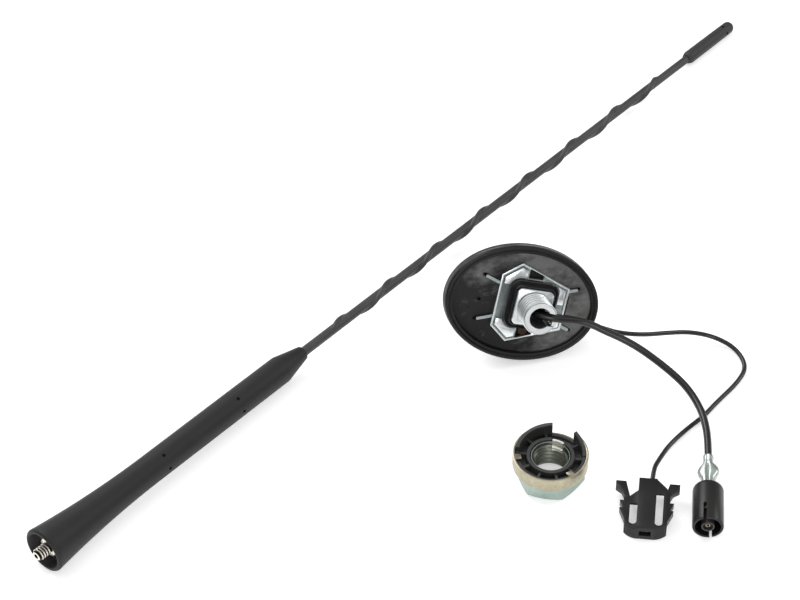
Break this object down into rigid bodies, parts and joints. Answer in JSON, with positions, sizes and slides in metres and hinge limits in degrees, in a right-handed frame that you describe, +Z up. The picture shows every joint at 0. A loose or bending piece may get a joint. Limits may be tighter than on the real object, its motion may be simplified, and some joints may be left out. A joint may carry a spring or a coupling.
{
  "type": "roof antenna",
  "caption": "Vehicle roof antenna taken apart: screw-in whip mast with a wound bead, oval roof foot with slotted stud and leads, and a clamp nut with a claw ring.",
  "frame": {"origin": "on the table, under the middle of the antenna's pieces without its leads and connectors", "axes": "+X along the mast from its stud to its tip, +Y from the clamp nut towards the mast, +Z up from the table"},
  "size_m": [0.4293, 0.1934, 0.0477],
  "materials": {
    "grip_rubber": "soft matt moulding with a fine grain",
    "jacket": "satin extruded sleeve",
    "glass_core": "drawn glass-fibre rod",
    "stud_steel": "turned and plated",
    "hump_plastic": "fine grained moulding",
    "pad_plastic": "moulded pad, a little dusty",
    "cast_zinc": "bright die casting",
    "seal_rubber": "moulded rubber",
    "brass": "turned",
    "laminate": "green coated laminate",
    "copper": "wound enamelled wire",
    "chip_black": "moulded package",
    "spring_metal": "bent strip",
    "cable_black": "satin sheath",
    "plug_black": "satin moulding",
    "plated_sheet": "tinned sheet metal",
    "insulator_black": "moulded insulator",
    "nut_zinc": "bluish zinc plating",
    "ring_zinc": "yellowish zinc plating",
    "insert_black": "moulded plastic"
  },
  "bodies": {
    "antenna": {"mast_grip": "grip_rubber", "whip_jacket": "jacket", "core_rod": "glass_core", "tip_cap": "grip_rubber", "mast_stud": "stud_steel", "foot_housing": "hump_plastic", "mast_socket": "brass", "roof_stud": "cast_zinc", "sealing_pad": "pad_plastic", "square_seal": "seal_rubber", "amplifier_board": "laminate", "input_choke": "copper", "amplifier_chip": "chip_black", "filter_coil": "copper", "contact_strip": "spring_metal", "aerial_cable": "cable_black", "supply_cable": "cable_black", "plug_sleeve": "plug_black", "plug_shell": "plated_sheet", "plug_insulator": "insulator_black", "plug_pin": "brass", "crimp_ferrule": "plated_sheet", "socket_housing": "plug_black", "socket_contact": "plated_sheet", "hex_nut": "nut_zinc"},
    "claw_ring": {"claw_ring": "ring_zinc", "centring_insert": "insert_black"}
  },
  "joints": [
    {"name": "claw_ring_swivel", "type": "hinge", "parent": "antenna", "child": "claw_ring", "pos_m": [-0.0463, -0.0542, 0.0107], "axis": [0, 0, 1], "continuous": true}
  ]
}
